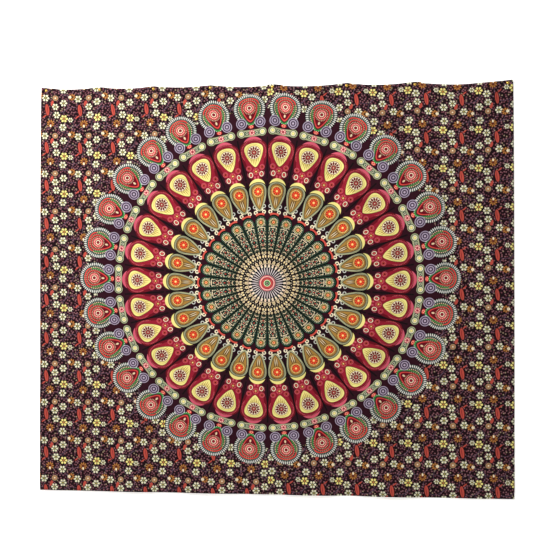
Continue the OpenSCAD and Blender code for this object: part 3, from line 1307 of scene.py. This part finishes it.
class HANGING_OT_tacks(bpy.types.Operator):
    """Pushes a brass thumb tack through the cloth at each fixing"""

    bl_idname = "hanging.tacks"
    bl_label = "Tacks"

    def execute(self, context):
        settings = context.scene.hanging_tacks
        for i in range(1, TACKS + 1):
            node = f"tack_cap_{i}"
            low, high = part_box(node)
            centre = Vector(((low.x + high.x) / 2, high.y, (low.z + high.z) / 2))
            profile = cap_profile((high.x - low.x) / 2, high.y - low.y, settings)
            name = f"brass_cap_{i}"
            mesh = lathe(name, profile, centre, settings.sides)
            piece = add_piece(name, mesh, finishes()["brass"])
            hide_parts(node)
            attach(piece, f"tack_{i}")
            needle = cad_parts[f"tack_needle_{i}"]
            needle.data.materials.clear()
            needle.data.materials.append(finishes()["steel"])
        return {"FINISHED"}


# ---------------------------------------------------------------- stage

WALL_Y = 0.6 * MM    # the wall stands just clear of the hem
ROOM = 6.0           # how far the wall and floor reach
WALL_GLOW = 0.52
SKY = 0.32           # strength of the light from all round


def stage_plane(name, corners, colour, one_sided):
    """A pale plane of the studio. A one-sided one can't be seen from behind."""
    mesh = bpy.data.meshes.new(name)
    mesh.from_pydata(corners, [], [(0, 1, 2, 3)])
    material, n, shader = new_material(name)
    place = n.add("ShaderNodeTexCoord").outputs["Object"]
    grain = n.add("ShaderNodeTexNoise", {"Vector": place, "Scale": 2.0}).outputs[0]
    n.put(shader.inputs["Base Color"], n.mix(grain, colour, [c * 0.985 for c in colour]))
    shader.inputs["Roughness"].default_value = 0.9
    if one_sided:
        shader.inputs["Emission Color"].default_value = (1, 0.99, 0.97, 1)
        shader.inputs["Emission Strength"].default_value = WALL_GLOW
        behind = n.add("ShaderNodeNewGeometry").outputs["Backfacing"]
        clear = n.add("ShaderNodeBsdfTransparent").outputs[0]
        shown = n.add("ShaderNodeMixShader", [behind, shader.outputs[0], clear])
        out = next(x for x in n.tree.nodes if x.type == "OUTPUT_MATERIAL")
        n.put(out.inputs[0], shown.outputs[0])
    plane = add_piece(name, mesh, material)


def area_light(name, place, target, size, power, colour):
    """A soft square light."""
    data = bpy.data.lights.new(name, "AREA")
    data.size, data.energy, data.color = size, power, colour
    light = bpy.data.objects.new(name, data)
    light.location = place
    light.rotation_euler = (Vector(target) - Vector(place)).to_track_quat("-Z", "Y").to_euler()
    bpy.context.scene.collection.objects.link(light)


class HANGING_OT_stage(bpy.types.Operator):
    """Sets the wall, floor, lights and camera"""

    bl_idname = "hanging.stage"
    bl_label = "Stage"

    def execute(self, context):
        scene = context.scene
        settings = scene.hanging_stage
        low = BOTTOM_Z - settings.floor_drop
        stage_plane("wall", [(-ROOM, WALL_Y, low), (ROOM, WALL_Y, low),
                             (ROOM, WALL_Y, low + ROOM), (-ROOM, WALL_Y, low + ROOM)],
                    (0.93, 0.93, 0.92), True)
        stage_plane("floor", [(-ROOM, -ROOM, low), (ROOM, -ROOM, low),
                              (ROOM, ROOM, low), (-ROOM, ROOM, low)],
                    (0.62, 0.61, 0.60), False)
        aim = Vector((settings.aim_x, 0, settings.aim_z))
        area_light("key", (-1.4, -1.8, 0.8), (-0.3, 0, -0.3), 1.2, settings.key_power,
                   (1, 0.985, 0.96))
        area_light("fill", (1.9, -1.5, 1.3), (0.6, 0, 0.1), 1.2, settings.fill_power,
                   (0.97, 0.985, 1))
        area_light("rear", (1.4, 2.6, 0.8), aim, 2.0, settings.fill_power, (1, 1, 1))
        world = bpy.data.worlds.new("studio")
        world.use_nodes = True
        sky = world.node_tree.nodes["Background"]
        sky.inputs["Color"].default_value = (1, 1, 1, 1)
        sky.inputs["Strength"].default_value = SKY
        scene.world = world

        back = Vector((math.sin(settings.azimuth), -math.cos(settings.azimuth), 0))
        data = bpy.data.cameras.new("camera")
        data.lens = data.sensor_width / 2 / (settings.view_height / 2 / settings.distance)
        camera = bpy.data.objects.new("camera", data)
        camera.location = aim + back * settings.distance
        camera.rotation_euler = (-back).to_track_quat("-Z", "Y").to_euler()
        scene.collection.objects.link(camera)
        scene.camera = camera
        scene.view_settings.view_transform = "Standard"
        return {"FINISHED"}


# ---------------------------------------------------------------- panel and run

OPERATORS = (HANGING_OT_stage, HANGING_OT_cloth, HANGING_OT_hems, HANGING_OT_stitches,
             HANGING_OT_tacks)


class HANGING_PT_panel(bpy.types.Panel):
    """Makes the hanging piece by piece"""

    bl_label = "Wall hanging"
    bl_idname = "HANGING_PT_panel"
    bl_space_type = "VIEW_3D"
    bl_region_type = "UI"
    bl_category = "Hanging"

    def draw(self, context):
        for operator in OPERATORS:
            self.layout.operator(operator.bl_idname)
        for name in SETTINGS:
            settings = getattr(context.scene, name)
            box = self.layout.box()
            for key in settings.__annotations__:
                box.prop(settings, key)


def register():
    for group in SETTINGS.values():
        bpy.utils.register_class(group)
    for name, group in SETTINGS.items():
        setattr(bpy.types.Scene, name, bpy.props.PointerProperty(type=group))
    for operator in (*OPERATORS, HANGING_PT_panel):
        bpy.utils.register_class(operator)


def unregister():
    for operator in reversed((*OPERATORS, HANGING_PT_panel)):
        bpy.utils.unregister_class(operator)
    for name, group in SETTINGS.items():
        delattr(bpy.types.Scene, name)
        bpy.utils.unregister_class(group)


def main():
    register()
    for operator in OPERATORS:
        module, name = operator.bl_idname.split(".")
        getattr(getattr(bpy.ops, module), name)()


if __name__ == "__main__":
    main()
